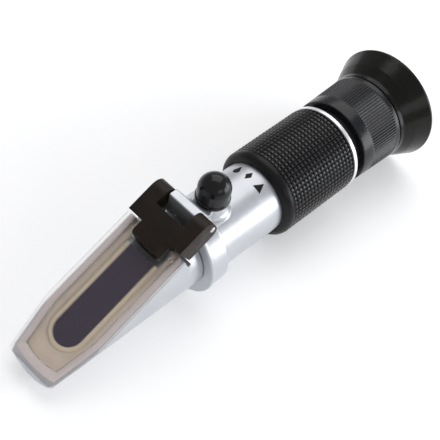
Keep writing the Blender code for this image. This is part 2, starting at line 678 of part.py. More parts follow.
def guide_tube():
    """Fixed rear tube that the eyepiece slides and turns on, with a groove for its seal."""
    start = TRIM_REAR_X + GAP
    tube = turned("guide_tube",
                  [(start, GUIDE_BORE), (start, 13.9), (start + 0.6, 13.9), (start + 0.6, GUIDE_RADIUS),
                   (SEAL_X - 0.6, GUIDE_RADIUS), (SEAL_X - 0.6, GUIDE_RADIUS - 0.8),
                   (SEAL_X + 0.6, GUIDE_RADIUS - 0.8), (SEAL_X + 0.6, GUIDE_RADIUS),
                   (GUIDE_END_X, GUIDE_RADIUS), (GUIDE_END_X, GUIDE_BORE)],
                  "black_anodised", OUTER_SIDES)
    front, rear, half = KEY_X - 3.2, KEY_X + 7.4, KEY_HALF + GAP
    slot = flat_solid("slot", [(front, -half), (rear, -half), (rear, half), (front, half)],
                      AXIS_Z + GUIDE_BORE - CUT, AXIS_Z + KEY_TOP + GAP)
    return cut(tube, slot)


def guide_seal():
    """O-ring that gives the focus ring its smooth drag."""
    section = [(SEAL_X + 0.4 * math.cos(angle), GUIDE_RADIUS - 0.3 + 0.35 * math.sin(angle))
               for angle in (math.tau * step / 6 for step in range(6))]
    return turned("guide_seal", section, "black_rubber", OUTER_SIDES)


def lens_barrel():
    """Inner barrel that slides without turning and holds the eye lenses."""
    return turned("lens_barrel",
                  [(50.0, 8.4), (50.0, BARREL_RADIUS), (64.0, BARREL_RADIUS), (64.0, 13.2), (66.5, 13.2),
                   (66.5, EYE_LENS_RADIUS + 0.2), (53.0, EYE_LENS_RADIUS + 0.2), (53.0, 8.4)],
                  "black_anodised")


def eyepiece_optics():
    """Two eye lenses, the ring between them and the ring that holds them in the barrel."""
    lens("eye_lens_field", FIELD_LENS_X, EYE_LENS_RADIUS, 1.0, 0.9)
    ring("lens_spacer", FIELD_LENS_X + 1.9, REAR_LENS_X - 2.0, EYE_LENS_RADIUS, 8.0, "black_anodised")
    lens("eye_lens_rear", REAR_LENS_X, EYE_LENS_RADIUS, 1.0, 1.0)
    ring("lens_retainer", REAR_LENS_X + 2.4, REAR_LENS_X + 3.8, EYE_LENS_RADIUS, 7.4, "black_anodised")


def guide_key():
    """Small key that keeps the barrel from turning in the guide tube."""
    rear = KEY_X + KEY_LENGTH
    outline = [(KEY_X, -KEY_HALF), (rear, -KEY_HALF), (rear, KEY_HALF), (KEY_X, KEY_HALF)]
    return flat_solid("guide_key", outline, AXIS_Z + BARREL_RADIUS + GAP, AXIS_Z + KEY_TOP, "steel")


def focus_ring():
    """Ribbed ring that turns on the guide tube and carries the eyecup."""
    inner = GUIDE_RADIUS + 0.25
    return turned("focus_ring",
                  [(FOCUS_FRONT_X, inner), (FOCUS_FRONT_X, FOCUS_RADIUS - 0.7),
                   (FOCUS_FRONT_X + 0.5, FOCUS_RADIUS), (CUP_FRONT_X - GAP, FOCUS_REAR_RADIUS),
                   (CUP_FRONT_X - GAP, 14.0), (70.4, 14.0), (70.4, 10.2), (67.2, 10.2),
                   (67.2, 13.6), (63.6, 13.6), (63.6, inner)], "slate_plastic", OUTER_SIDES)


def eyecup():
    """Soft flared cup: a neck on the focus ring, a flare and a rounded rim."""
    rim = AXIS_Z
    outer = [(CUP_FRONT_X, CUP_NECK_RADIUS), (70.6, CUP_NECK_RADIUS + 0.1), (72.4, 16.6), (74.4, 17.7),
             (76.6, 18.7), (78.8, 19.5), (RIM_X - 0.6, rim), (RIM_X, rim - 0.3)]
    inside = [(RIM_X, rim - 0.9), (78.4, 17.6), (76.0, 16.4), (74.0, 14.6), (72.6, 12.6), (72.4, 9.2),
              (70.7, 9.2), (70.7, 14.3), (CUP_FRONT_X, 14.3)]
    return turned("eyecup", outer + inside, "gloss_rubber", OUTER_SIDES)


def build():
    clear_scene()
    prism_seat()
    main_prism()
    prism_gasket()
    head_casting()
    nose_screw("nose_screw_left", NOSE_SCREW_LEFT)
    nose_screw("nose_screw_under", NOSE_SCREW_UNDER)
    lug_lock_screw()
    daylight_plate()
    hinge_block()
    hinge_pin()
    calibration_cap()
    calibration_bush()
    calibration_screw()
    objective_cell()
    lens("objective_lens", OBJECTIVE_X, OBJECTIVE_RADIUS, 1.2, 0.8)
    ring("objective_retainer", OBJECTIVE_X + 1.7, OBJECTIVE_X + 3.0, OBJECTIVE_RADIUS, 6.2, "black_anodised")
    bimetal_strip()
    bimetal_screw()
    light_baffle()
    body_tube()
    grip_sleeve()
    trim_ring()
    reticle()
    guide_tube()
    guide_seal()
    lens_barrel()
    eyepiece_optics()
    guide_key()
    focus_ring()
    eyecup()


build()
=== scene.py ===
"""Looks of the hand-held refractometer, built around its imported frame.

The pieces are made in millimetres in the frame's axes: +X from the prism end to the eyepiece,
+Z up. MM turns them into metres.
"""

import json
import math

import bmesh
import bpy
from mathutils import Matrix, Vector


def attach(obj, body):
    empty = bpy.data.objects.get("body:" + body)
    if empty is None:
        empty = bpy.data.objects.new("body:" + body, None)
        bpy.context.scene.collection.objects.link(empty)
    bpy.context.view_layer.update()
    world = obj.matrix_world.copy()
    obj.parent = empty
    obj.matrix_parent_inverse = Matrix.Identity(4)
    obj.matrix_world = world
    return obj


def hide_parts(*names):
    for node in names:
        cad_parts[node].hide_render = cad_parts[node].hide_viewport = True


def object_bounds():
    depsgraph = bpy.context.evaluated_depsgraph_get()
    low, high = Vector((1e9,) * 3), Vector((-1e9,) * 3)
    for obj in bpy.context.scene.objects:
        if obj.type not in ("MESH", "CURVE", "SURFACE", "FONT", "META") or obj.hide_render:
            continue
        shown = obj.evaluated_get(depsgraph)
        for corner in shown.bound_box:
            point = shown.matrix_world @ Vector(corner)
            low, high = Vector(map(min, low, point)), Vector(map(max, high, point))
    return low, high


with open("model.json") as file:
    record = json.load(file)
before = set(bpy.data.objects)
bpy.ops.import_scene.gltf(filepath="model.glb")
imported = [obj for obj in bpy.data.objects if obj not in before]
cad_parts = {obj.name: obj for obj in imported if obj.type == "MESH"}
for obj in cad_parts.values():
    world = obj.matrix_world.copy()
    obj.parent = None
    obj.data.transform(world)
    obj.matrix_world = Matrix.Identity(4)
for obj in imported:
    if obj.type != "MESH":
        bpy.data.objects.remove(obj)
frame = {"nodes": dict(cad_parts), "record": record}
cad_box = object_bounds()

MM = 0.001
GAP = 0.3  # what touching pieces keep between them
RUNNING = 0.06  # radial clearance of a shaft in its hole
CUT = 1.0  # how far a cutter runs past the face that it cuts
REACH = 20.0  # a reach past the sides of the nose, the hinge and the head, for cutters
FAR = 90.0  # a reach past both ends of the nose, for cutters
OVERLAP = 3.0  # how far solids that are joined run into each other

AXIS_Z = cad_box[1].y / MM  # height of the optical axis, which is the eyecup's rim radius
TIP_X = cad_box[0].x / MM
RIM_X = cad_box[1].x / MM

# Measuring plane: u runs up the slope from the plate's rear end, n stands on the plate's top
SLOPE = math.radians(27.0)
PLATE_REAR_X = -34.4
PLATE_REAR_H = 17.3  # height of the plate's top above the optical axis, at its rear end
PLATE_LENGTH = 51.4
PLATE_BOW = 1.0  # how far the middle of the tip stands out beyond its corners
PLATE_END_U = 1.2  # the plate's rear edge, beside the hinge's tongue
PLATE_HALF = 12.2
PLATE_TIP_HALF = 9.15
PLATE_TAPER_U = -33.5  # the sides are parallel behind this and taper in front of it
PLATE_CORNER = 1.0
PLATE_THICKNESS = 2.4
PLATE_BAND = 3.4  # width of the thin band along the sides of the plate's thicker middle
PLATE_TIP_BAND = 4.6
PLATE_REAR_BAND = 2.3
PLATE_BAND_THICKNESS = 1.4
SEAT_DEPTH = PLATE_THICKNESS + GAP  # from the plate's top down to the prism's face
PLANE = Matrix.Translation((PLATE_REAR_X, 0, AXIS_Z + PLATE_REAR_H)) @ Matrix.Rotation(-SLOPE, 4, "Y")

# Prism box, the aluminium nose
NOSE_RADIUS = 11.0
NOSE_HALF = 11.3
NOSE_INSET = 0.5  # how far the nose's tapered sides stay inside the plate's
NOSE_END_U = 1.1  # rear end of the plate's seat
NECK_ROOM = 0.8  # between the neck and the lug above it
NOSE_FRONT_X = TIP_X + 1.3
NECK_FRONT_X = -29.0  # behind this the nose is a full round
NECK_RADIUS = NOSE_HALF - 0.05
NECK_N = -7.2
SPIGOT_RADIUS = 10.0
SPIGOT_END_X = -13.0
LIGHT_RADIUS = 7.0  # of the hole that lets the light out of the prism into the tube
PRISM_HALF = 5.1
PRISM_FRONT_U = -41.0
PRISM_REAR_U = -5.4
PRISM_STEP_N = -7.0  # the prism's top behind the cement frame
PRISM_DEEP_N = -45.0  # below the prism's level underside
PRISM_BOTTOM_H = -6.2
PRISM_REAR_X = -37.0
GASKET_WIDTH = 1.5
GASKET_DEPTH = 0.9
GASKET_SINK = 0.1  # how far the cement frame lies below the prism's face
GASKET_FIT = 0.02  # between the cement frame and the prism

# Hinge
BLOCK_HALF = 10.8
BLOCK_TOP = 3.7  # above the plate's top
BLOCK_BOTTOM = -5.4
EAR_FRONT_TOP_U = 1.4
EAR_FRONT_LOW_U = 2.7
EAR_INNER = 5.7
NOTCH_FRONT_U = 7.9
EAR_REAR_U = 15.0
EAR_TOP_ROUND = 4.2
EAR_LOW_ROUND = 2.8
TONGUE_HALF = 5.2
TONGUE_CORNER = 2.0
TONGUE_REAR_U = 5.0
TONGUE_FRONT_U = -3.9
TONGUE_SLANT = 0.8  # how far the tongue's front face leans back towards its top
TONGUE_STEP = 0.05  # how far the tongue's faces lie inside the bridge's
TONGUE_ROOM = 0.5  # round the tongue in the nose
TONGUE_ROOM_N = BLOCK_BOTTOM - 0.6  # floor of that room
PIN_U = 13.6
PIN_N = -1.9
PIN_RADIUS = 1.0
PIN = PLANE @ Vector((PIN_U, 0, PIN_N))

# Head casting
COLLAR_FRONT_X = -21.6
COLLAR_REAR_X = -13.9
COLLAR_RADIUS = 14.7
LIP_RADIUS = 15.1  # of the lip round the collar's front edge
LIP_END_X = -20.4
TUBE_RADIUS = 12.4
HEAD_BORE = 10.4
HEAD_END_X = 17.0
DECK_H = 16.8
LUG_HALF = 5.35
LUG_TOP_H = 25.2
LUG_FRONT_X = -24.3
LUG_REAR_X = -21.3
DECK_FRONT_X = -15.5
DECK_HALF = 3.6
RIB_END_X = -9.2  # inside the cap's boss
BOSS_FLARE = 1.6  # size of the fillet at the foot of the cap's boss
NOSE_SCREW_X = -17.6
NOSE_SCREW_RADIUS = 0.85
NOSE_SCREW_ANGLES = (3.75, -86.25)
STRIP_SCREW_X = 5.0
STRIP_SCREW_RADIUS = 0.75
LOCK_Y = 2.6
LOCK_DROP = 3.4  # below the hinge pin
LOCK_RADIUS = 0.6
LOCK_END_X = LUG_FRONT_X + 2.1
LOCK_AXIS = (0, LOCK_Y, PIN.z - LOCK_DROP)
MARK_X = 8.6

# Calibration
CAP_X = -9.9
CAP_RADIUS = 5.35
CAP_LIP_RADIUS = 5.6
CAP_HEIGHT = 9.6
CAP_AXIS = (CAP_X, 0, AXIS_Z)
BUSH_RADIUS = 3.2

# Grip and eyepiece
GRIP_FRONT_X = 12.3
GRIP_SHOULDER_X = 15.0  # where the sleeve reaches its full radius
TEXTURE_FRONT_X = 15.9
TRIM_FRONT_X = 45.3
TRIM_REAR_X = 46.7
GRIP_RADIUS = 15.3
STUD_ROWS = 18
STUD_COLUMNS = 60
STUD_HEIGHT = 0.6
GUIDE_RADIUS = 12.6
GUIDE_BORE = 10.6
GUIDE_END_X = 60.8
FOCUS_FRONT_X = 50.5
FOCUS_RADIUS = 15.1
FOCUS_REAR_RADIUS = 15.7
RIBS = 96
RIB_DEPTH = 0.28
RIB_FRONT_X = 54.9
RIB_REAR_X = 67.3
CUP_FRONT_X = 69.3
CUP_NECK_RADIUS = 15.6
REAR_LENS_X = 62.4
EYE_LENS_RADIUS = 9.0

# Camera: where it stands from the point that it aims at, in degrees and millimetres
CAMERA_AIM = (-2.843, 0.093, AXIS_Z)
CAMERA_AZIMUTH = -146.152
CAMERA_ELEVATION = 51.664
CAMERA_ROLL = 13.966
CAMERA_DISTANCE = 379.42
CAMERA_LENS = 98.18

FINE_SIDES = 192
CAP_SIDES = 128
MEDIUM_SIDES = 96
SMALL_SIDES = 48
TINY_SIDES = 32
SHARP = 35.0  # edges sharper than this many degrees aren't shaded smooth
CORNER_SHARE = 0.48  # of a side, the most that a rounded corner takes

UPRIGHT = Matrix(((1, 0, 0, 0), (0, 0, 1, 0), (0, 1, 0, 0), (0, 0, 0, 1)))  # (a, b) becomes (x, z)
ALONG_X = Matrix(((0, 0, 1, 0), (1, 0, 0, 0), (0, 1, 0, 0), (0, 0, 0, 1)))  # (a, b) becomes (y, z)


# Mesh helpers


def mesh_object(name, fill, sharp=SHARP):
    """A smooth-shaded mesh object filled by fill(bmesh) in millimetres."""
    mesh = bpy.data.meshes.new(name)
    work = bmesh.new()
    fill(work)
    bmesh.ops.recalc_face_normals(work, faces=work.faces)
    work.transform(Matrix.Scale(MM, 4))
    work.to_mesh(mesh)
    work.free()
    obj = bpy.data.objects.new(name, mesh)
    bpy.context.scene.collection.objects.link(obj)
    return shaded(obj, sharp)


def shaded(obj, sharp=SHARP):
    """Smooth shading with the sharp edges kept."""
    obj.data.shade_smooth()
    obj.data.set_sharp_from_angle(angle=math.radians(sharp))
    return obj


def rounded(points, steps=4):
    """A closed outline whose (a, b, radius) corners become smooth curves."""
    outline = []
    for index, point in enumerate(points):
        here = Vector(point[:2])
        if len(point) < 3:
            outline.append(tuple(here))
            continue
        before = Vector(points[index - 1][:2]) - here
        after = Vector(points[(index + 1) % len(points)][:2]) - here
        turn = before.angle(after)
        longest = CORNER_SHARE * min(before.length, after.length)
        reach = min(point[2] / math.tan(turn / 2), longest)
        start, end = here + before.normalized() * reach, here + after.normalized() * reach
        for step in range(steps + 1):
            t = step / steps
            outline.append(tuple(start * (1 - t) ** 2 + here * 2 * t * (1 - t) + end * t**2))
    return outline


def lathe(name, profile, sides=FINE_SIDES, axis="x", centre=(0, 0, AXIS_Z), sharp=SHARP, ripple=None):
    """Turns a closed (along, radius) profile. ripple(along, radius, angle) may change a radius."""
    turn = {"x": Matrix.Identity(4), "z": Matrix.Rotation(-math.pi / 2, 4, "Y"),
            "y": Matrix.Rotation(math.pi / 2, 4, "Z")}[axis]
    place = Matrix.Translation(Vector(centre)) @ turn

    def fill(work):
        rings = []
        for along, radius in rounded(profile):
            if radius <= 1e-6:
                rings.append([work.verts.new((along, 0, 0))])
                continue
            points = []
            for step in range(sides):
                angle = math.tau * step / sides
                here = ripple(along, radius, angle) if ripple else radius
                points.append(work.verts.new((along, here * math.cos(angle), here * math.sin(angle))))
            rings.append(points)
        for first, second in zip(rings, rings[1:] + rings[:1]):
            if len(first) == len(second) == 1:
                continue
            for step in range(sides):
                after = (step + 1) % sides
                corners = [first[step % len(first)], first[after % len(first)],
                           second[after % len(second)], second[step % len(second)]]
                work.faces.new(list(dict.fromkeys(corners)))
        work.transform(place)

    return mesh_object(name, fill, sharp)


def rod(name, start, end, radius, sides=FINE_SIDES, axis="x", centre=(0, 0, AXIS_Z)):
    """A plain round bar from start to end along its axis."""
    return lathe(name, [(start, 0), (start, radius), (end, radius), (end, 0)], sides, axis, centre)


def extruded(name, outline, low, high, matrix=Matrix.Identity(4)):
    """An outline of (a, b) points extruded from low to high, then placed by the matrix."""
    def fill(work):
        near = [work.verts.new((a, b, low)) for a, b in outline]
        far = [work.verts.new((a, b, high)) for a, b in outline]
        work.faces.new(near)
        work.faces.new(far)
        for step in range(len(outline)):
            after = (step + 1) % len(outline)
            work.faces.new([near[step], near[after], far[after], far[step]])
        work.transform(matrix)

    return mesh_object(name, fill)


def upright(name, outline, low, high):
    """An outline of (x, z) points extruded along y."""
    return extruded(name, outline, low, high, UPRIGHT)


def on_slope(name, outline, low, high):
    """An outline of (u, y) points extruded along the measuring plane's normal."""
    return extruded(name, outline, low, high, PLANE)


def side_box(name, front, rear, bottom, top):
    """A box across the whole width, x from front to rear and z from bottom to top."""
    return upright(name, [(front, bottom), (rear, bottom), (rear, top), (front, top)], -REACH, REACH)


def slope_box(name, front, rear, half, low, high):
    """A box on the measuring plane, u from front to rear and y from -half to half."""
    return on_slope(name, [(front, -half), (rear, -half), (rear, half), (front, half)], low, high)


def mirrored(half):
    """A closed outline from its half with positive second coordinates."""
    return half + [(a, -b) for a, b in half[::-1]]


def slope_points(points):
    """World (x, z) of (u, n) points."""
    return [((PLANE @ Vector((u, 0, n))).x, (PLANE @ Vector((u, 0, n))).z) for u, n in points]


def apply_modifiers(obj):
    """Replaces the mesh by what its modifiers make of it."""
    graph = bpy.context.evaluated_depsgraph_get()
    before = obj.data
    result = bpy.data.meshes.new_from_object(obj.evaluated_get(graph))
    obj.modifiers.clear()
    obj.data = result
    bpy.data.meshes.remove(before)
    return obj


def combined(obj, others, operation):
    """The object after a Boolean with each of the others, which are used up."""
    for other in others:
        modifier = obj.modifiers.new("Boolean", "BOOLEAN")
        modifier.object = other
        modifier.operation = operation
        modifier.solver = "EXACT"
    apply_modifiers(obj)
    for other in others:
        bpy.data.objects.remove(other, do_unlink=True)
    return obj


def cut(obj, *others):
    return combined(obj, others, "DIFFERENCE")


def joined(obj, *others):
    return combined(obj, others, "UNION")


def edged(obj, width, segments=3, angle=30.0):
    """Rounds the sharp edges with a real bevel."""
    bevel = obj.modifiers.new("Edges", "BEVEL")
    bevel.width = width * MM
    bevel.segments = segments
    bevel.limit_method = "ANGLE"
    bevel.angle_limit = math.radians(angle)
    bevel.use_clamp_overlap = True
    bevel.harden_normals = False
    return shaded(apply_modifiers(obj), 40.0)


def softened(obj, voxel, passes):
    """Remeshes a union of solids and smooths it, so that inner corners become cast fillets."""
    remesh = obj.modifiers.new("Remesh", "REMESH")
    remesh.mode = "VOXEL"
    remesh.voxel_size = voxel * MM
    smooth = obj.modifiers.new("Smooth", "SMOOTH")
    smooth.factor = 0.5
    smooth.iterations = passes
    return shaded(apply_modifiers(obj), 60.0)


def arc(centre, radius, start, end, steps):
    """Points on an arc, from start to end in degrees, both included."""
    return [
        (centre[0] + radius * math.cos(math.radians(start + (end - start) * step / steps)),
         centre[1] + radius * math.sin(math.radians(start + (end - start) * step / steps)))
        for step in range(steps + 1)
    ]


def finished(obj, body, slot, looks, *nodes):
    """Gives the piece its material and its body, and hides the CAD nodes that it stands for."""
    obj.data.materials.clear()
    obj.data.materials.append(looks)
    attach(obj, body)
    if nodes:
        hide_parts(*nodes)
    return obj


# Materials


class Looks:
    """A Principled material with helpers for its procedural detail."""

    def __init__(self, name, colour, roughness, metallic=0.0, **constants):
        self.material = bpy.data.materials.new(name)
        self.material.use_nodes = True
        self.tree = self.material.node_tree
        self.shader = self.tree.nodes["Principled BSDF"]
        self.set("Base Color", (*colour, 1.0))
        self.set("Roughness", roughness)
        self.set("Metallic", metallic)
        for socket, value in constants.items():
            self.set(socket.replace("_", " "), value)
        self.height = None

    def set(self, socket, value):
        self.shader.inputs[socket].default_value = value

    def node(self, kind, **values):
        made = self.tree.nodes.new(kind)
        for socket, value in values.items():
            made.inputs[socket.replace("_", " ")].default_value = value
        return made

    def link(self, output, target):
        self.tree.links.new(output, target)

    def place(self, stretch=(1, 1, 1)):
        """Object coordinates in millimetres, squeezed along the axes."""
        where = self.node("ShaderNodeTexCoord")
        mapping = self.node("ShaderNodeMapping", Scale=[s / MM for s in stretch])
        self.link(where.outputs["Object"], mapping.inputs["Vector"])
        return mapping.outputs["Vector"]

    def noise(self, scale, detail=3.0, stretch=(1, 1, 1), roughness=0.55):
        """Noise whose features are about 1 / scale millimetres across."""
        made = self.node("ShaderNodeTexNoise", Scale=scale, Detail=detail, Roughness=roughness)
        self.link(self.place(stretch), made.inputs["Vector"])
        return made.outputs["Fac"]

    def ramp(self, factor, low, high, start=0.35, end=0.65):
        made = self.node("ShaderNodeMapRange")
        for socket, value in (("From Min", start), ("From Max", end), ("To Min", low), ("To Max", high)):
            made.inputs[socket].default_value = value
        self.link(factor, made.inputs["Value"])
        return made.outputs["Result"]

    def mottle(self, factor, low, high, start=0.3, end=0.7):
        """Base colour that varies between two colours."""
        made = self.node("ShaderNodeMix")
        made.data_type = "RGBA"
        made.inputs["A"].default_value = (*low, 1.0)
        made.inputs["B"].default_value = (*high, 1.0)
        self.link(self.ramp(factor, 0.0, 1.0, start, end), made.inputs["Factor"])
        self.link(made.outputs["Result"], self.shader.inputs["Base Color"])
        return self

    def rough(self, factor, low, high):
        self.link(self.ramp(factor, low, high), self.shader.inputs["Roughness"])
        return self

    def bump(self, factor, distance, strength=1.0):
        made = self.node("ShaderNodeBump", Strength=strength, Distance=distance * MM)
        self.link(factor, made.inputs["Height"])
        if self.height:
            self.link(self.height, made.inputs["Normal"])
        self.height = made.outputs["Normal"]
        self.link(self.height, self.shader.inputs["Normal"])
        return self


def satin_aluminium():
    made = Looks("satin_aluminium", (0.56, 0.57, 0.60), 0.32, 0.55, Specular_IOR_Level=0.5)
    made.mottle(made.noise(0.12, 4.0), (0.53, 0.545, 0.58), (0.58, 0.59, 0.61))
    made.rough(made.noise(0.5, 5.0), 0.28, 0.36)
    return made.bump(made.noise(6.0, 2.0), 0.003).material


def bright_steel():
    made = Looks("bright_steel", (0.62, 0.62, 0.63), 0.25, 1.0)
    made.rough(made.noise(2.0, 4.0), 0.18, 0.34)
    return made.bump(made.noise(6.0, 2.0), 0.01).material


def bright_ring():
    made = Looks("bright_ring", (0.92, 0.92, 0.94), 0.25, 0.6)
    made.rough(made.noise(3.0, 3.0, (1, 0.1, 0.1)), 0.2, 0.32)
    return made.bump(made.noise(8.0, 2.0, (1, 0.05, 0.05)), 0.008).material


def anodised():
    made = Looks("black_anodised", (0.02, 0.02, 0.022), 0.42, 0.3)
    made.rough(made.noise(1.5, 4.0), 0.36, 0.5)
    return made.bump(made.noise(10.0, 2.0), 0.01).material


def grip_rubber():
    made = Looks("grip_rubber", (0.008, 0.008, 0.009), 0.32, Specular_IOR_Level=0.18)
    made.mottle(made.noise(0.35, 4.0), (0.006, 0.006, 0.007), (0.010, 0.010, 0.011))
    made.rough(made.noise(1.2, 5.0), 0.26, 0.38)
    return made.bump(made.noise(7.0, 3.0), 0.01).material


def stud_rubber():
    made = Looks("stud_rubber", (0.010, 0.010, 0.011), 0.22, Specular_IOR_Level=0.45)
    made.mottle(made.noise(0.35, 4.0), (0.007, 0.007, 0.008), (0.014, 0.014, 0.015))
    made.rough(made.noise(1.2, 5.0), 0.12, 0.24)
    return made.bump(made.noise(7.0, 3.0), 0.01).material


def cup_rubber():
    made = Looks("cup_rubber", (0.006, 0.0065, 0.005), 0.2, Specular_IOR_Level=0.2)
    made.mottle(made.noise(0.2, 3.0), (0.005, 0.005, 0.004), (0.008, 0.0085, 0.006))
    made.rough(made.noise(0.6, 5.0), 0.15, 0.24)
    return made.bump(made.noise(5.0, 3.0), 0.008).material


def cap_rubber():
    made = Looks("cap_rubber", (0.008, 0.008, 0.009), 0.26, Specular_IOR_Level=0.3)
    made.rough(made.noise(1.0, 5.0), 0.12, 0.2)
    return made.bump(made.noise(4.0, 3.0), 0.01).material


def slate_plastic():
    made = Looks("slate_plastic", (0.008, 0.0085, 0.011), 0.24, Specular_IOR_Level=0.34)
    made.mottle(made.noise(0.25, 4.0), (0.006, 0.0065, 0.008), (0.011, 0.0115, 0.015))
    made.rough(made.noise(1.0, 5.0), 0.18, 0.28)
    return made.bump(made.noise(9.0, 3.0), 0.012).material


def hinge_plastic():
    made = Looks("hinge_plastic", (0.019, 0.013, 0.009), 0.42, Specular_IOR_Level=0.16)
    made.mottle(made.noise(0.3, 4.0), (0.016, 0.011, 0.008), (0.022, 0.015, 0.010))
    made.rough(made.noise(0.4, 3.0), 0.36, 0.46)
    return made.bump(made.noise(5.0, 2.0), 0.004).material


def acrylic():
    made = Looks("clear_acrylic", (0.97, 0.93, 0.93), 0.1, Transmission_Weight=0.96, IOR=1.45,
                 Specular_IOR_Level=0.35, Alpha=0.5)
    made.rough(made.noise(0.4, 5.0), 0.06, 0.14)
    return made.bump(made.noise(0.8, 3.0), 0.006).material


def prism_glass():
    made = Looks("prism_glass", (0.028, 0.010, 0.044), 0.12, Specular_IOR_Level=0.15)
    made.mottle(made.noise(0.35, 5.0), (0.022, 0.007, 0.038), (0.038, 0.018, 0.054))
    made.rough(made.noise(1.5, 4.0), 0.1, 0.22)
    return made.bump(made.noise(1.2, 4.0), 0.003).material


def lens_glass():
    made = Looks("lens_glass", (0.92, 0.95, 0.96), 0.02, Transmission_Weight=1.0, IOR=1.52)
    made.rough(made.noise(0.5, 3.0), 0.01, 0.04)
    return made.material


def cream_cement():
    made = Looks("cream_cement", (0.92, 0.79, 0.57), 0.5)
    made.mottle(made.noise(0.6, 5.0), (0.88, 0.75, 0.52), (0.95, 0.83, 0.62))
    return made.bump(made.noise(2.5, 5.0), 0.05).material


def tan_cement():
    made = Looks("tan_cement", (0.82, 0.70, 0.56), 0.55)
    made.mottle(made.noise(0.15, 4.0), (0.78, 0.66, 0.52), (0.86, 0.74, 0.60))
    return made.bump(made.noise(2.0, 5.0), 0.02).material


def pale_film():
    made = Looks("pale_film", (0.92, 0.83, 0.80), 0.5)
    made.mottle(made.noise(0.2, 4.0), (0.89, 0.80, 0.77), (0.95, 0.86, 0.83))
    return made.bump(made.noise(2.0, 5.0), 0.01).material


def brass():
    made = Looks("plain_brass", (0.72, 0.55, 0.25), 0.3, 1.0)
    made.rough(made.noise(1.5, 4.0), 0.22, 0.4)
    return made.bump(made.noise(7.0, 2.0), 0.01).material


def ink():
    made = Looks("mark_ink", (0.012, 0.010, 0.010), 0.5, Specular_IOR_Level=0.15)
    made.mottle(made.noise(2.0, 5.0), (0.008, 0.007, 0.007), (0.018, 0.015, 0.015))
    return made.bump(made.noise(8.0, 3.0), 0.01).material


ALUMINIUM = satin_aluminium()
STEEL = bright_steel()
RING = bright_ring()
ANODISED = anodised()
GRIP = grip_rubber()
STUDS = stud_rubber()
CUP = cup_rubber()
CAP = cap_rubber()
SLATE = slate_plastic()
HINGE = hinge_plastic()
ACRYLIC = acrylic()
PRISM = prism_glass()
LENS = lens_glass()
CEMENT = cream_cement()
BED = tan_cement()
FILM = pale_film()
BRASS = brass()
INK = ink()


# Prism end


def plate_half(u):
    """Half the plate's width: parallel sides, then a straight taper towards the tip."""
    taper = max(0.0, (PLATE_TAPER_U - u) / (PLATE_TAPER_U + PLATE_LENGTH))
    return PLATE_HALF - (PLATE_HALF - PLATE_TIP_HALF) * taper


def plate_outline(inset, end=PLATE_END_U, inward=0.0):
    """Outline in (u, y): a bowed tip, sides that widen to the rear, rounded rear corners."""
    tip = -PLATE_LENGTH + inset * PLATE_TIP_BAND / PLATE_BAND
    # The extra stations keep the faces along the sides short
    stations = (tip, tip + 0.3, -45.0, -40.0, PLATE_TAPER_U - 1.0, PLATE_TAPER_U, -20.0, -8.0)
    side = [(u, plate_half(u) - inset) for u in stations]
    side += arc((end - inward - PLATE_CORNER, PLATE_HALF - inset - PLATE_CORNER), PLATE_CORNER, 90, 0, 8)
    half = side[0][1]
    steps = 16
    across = [half * (1 - 2 * step / steps) for step in range(1, steps)]
    edge = [(tip - PLATE_BOW * (1 - (y / half) ** 2), y) for y in across]
    return [(u, -y) for u, y in side[::-1]] + [(u, -y) for u, y in edge] + side


def cover_plate():
    """Clear plate lofted through its rounded top edge, thin band and thicker middle."""
    edge = [(0.45, 0.0), (0.13, -0.13), (0.0, -0.45), (0.0, 0.2 - PLATE_BAND_THICKNESS)]
    band = [(0.2, -PLATE_BAND_THICKNESS), (PLATE_BAND - 0.5, -PLATE_BAND_THICKNESS)]
    step_down = [(PLATE_BAND - 0.2, -PLATE_BAND_THICKNESS - 0.15),
                 (PLATE_BAND + 0.2, -PLATE_THICKNESS + 0.15), (PLATE_BAND + 0.5, -PLATE_THICKNESS)]

    def fill(work):
        rings = []
        for inset, height in edge + band + step_down:
            inward = inset * PLATE_REAR_BAND / PLATE_BAND
            rings.append([work.verts.new((u, y, height)) for u, y in plate_outline(inset, inward=inward)])
        for lower, upper in zip(rings, rings[1:]):
            for step in range(len(lower)):
                after = (step + 1) % len(lower)
                work.faces.new([lower[step], lower[after], upper[after], upper[step]])
        work.faces.new(rings[0])
        work.faces.new(rings[-1])
        work.transform(PLANE)

    sharp = 30.0
    plate = mesh_object("cover_plate", fill, sharp)
    room = TONGUE_HALF + GAP
    front = TONGUE_FRONT_U - GAP
    corner = 1.2
    notch = rounded([(front, -room, corner), (REACH, -room), (REACH, room), (front, room, corner)])
    shaded(cut(plate, on_slope("notch", notch, -REACH, REACH)), sharp)
    return finished(plate, "cover", "clear_acrylic", ACRYLIC, "daylight_plate")


def stadium(front, rear, half):
    """Outline in (u, y) with a round front end and a square rear end."""
    return arc((front + half, 0), half, 90, 270, 40) + [(rear, -half), (rear, half)]


def tongue_cutter(room, low=-REACH):
    """Cutter that leaves room round the hinge's tongue."""
    return slope_box("tongue_room", TONGUE_FRONT_U - room, REACH, TONGUE_HALF + room, low, REACH)


def nose_sides():
    """Outline in (u, y) of the nose's sides, which stay inside the plate's."""
    half = [(u, plate_half(u) - NOSE_INSET) for u in (-FAR, PLATE_TAPER_U, FAR)]
    return mirrored(half)


